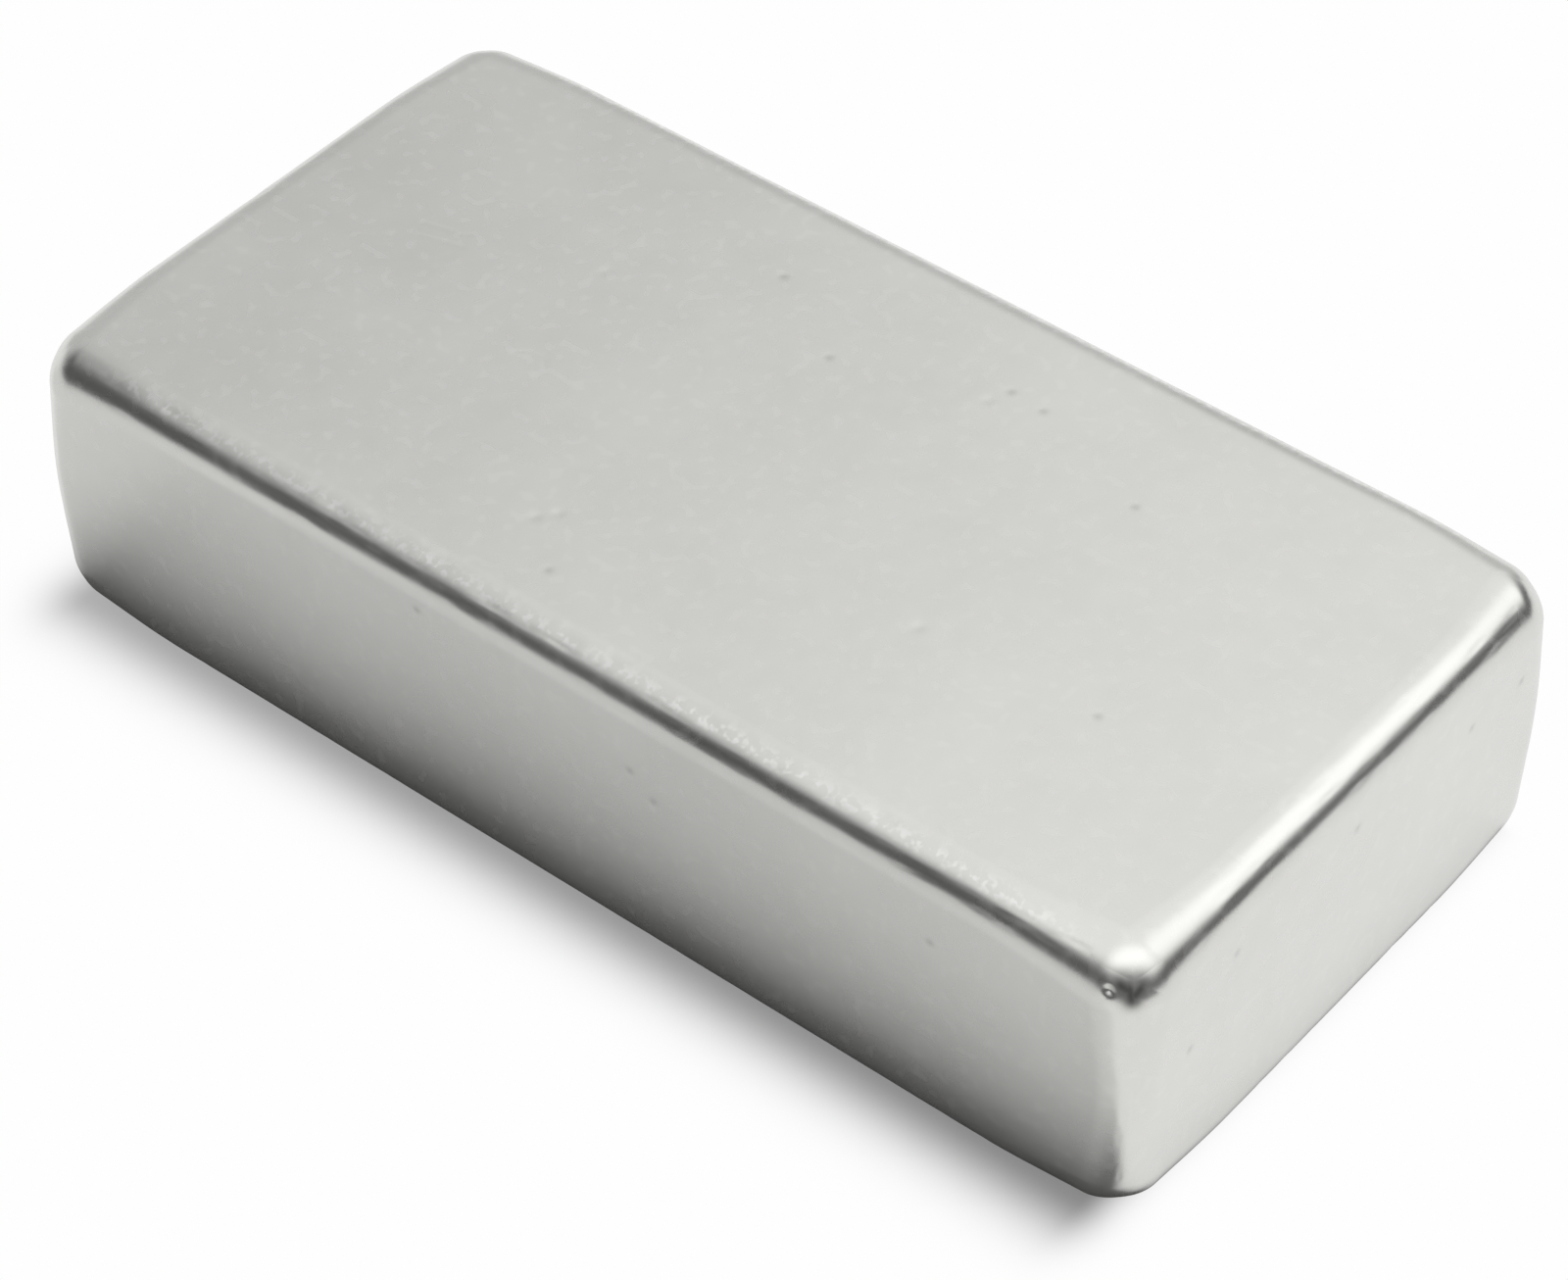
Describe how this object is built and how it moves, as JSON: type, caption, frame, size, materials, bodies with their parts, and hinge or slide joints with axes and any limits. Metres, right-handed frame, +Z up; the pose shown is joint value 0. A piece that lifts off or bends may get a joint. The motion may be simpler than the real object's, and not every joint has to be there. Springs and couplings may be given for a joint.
{
  "type": "neodymium block magnet",
  "caption": "Rectangular sintered magnet block with tumbled edges, rounder corners and a satin nickel-plated finish.",
  "frame": {"origin": "middle of the lower pole face, on the surface the block rests on", "axes": "+X along the longest side, +Y across the width, +Z up through the thickness, which is the direction of magnetisation"},
  "size_m": [0.04, 0.02, 0.01],
  "materials": {
    "nickel_plating": "satin nickel plate over a fine orange-peel surface, neither brushed nor polished"
  },
  "bodies": {
    "root": {"magnet_block": "nickel_plating"}
  },
  "joints": []
}
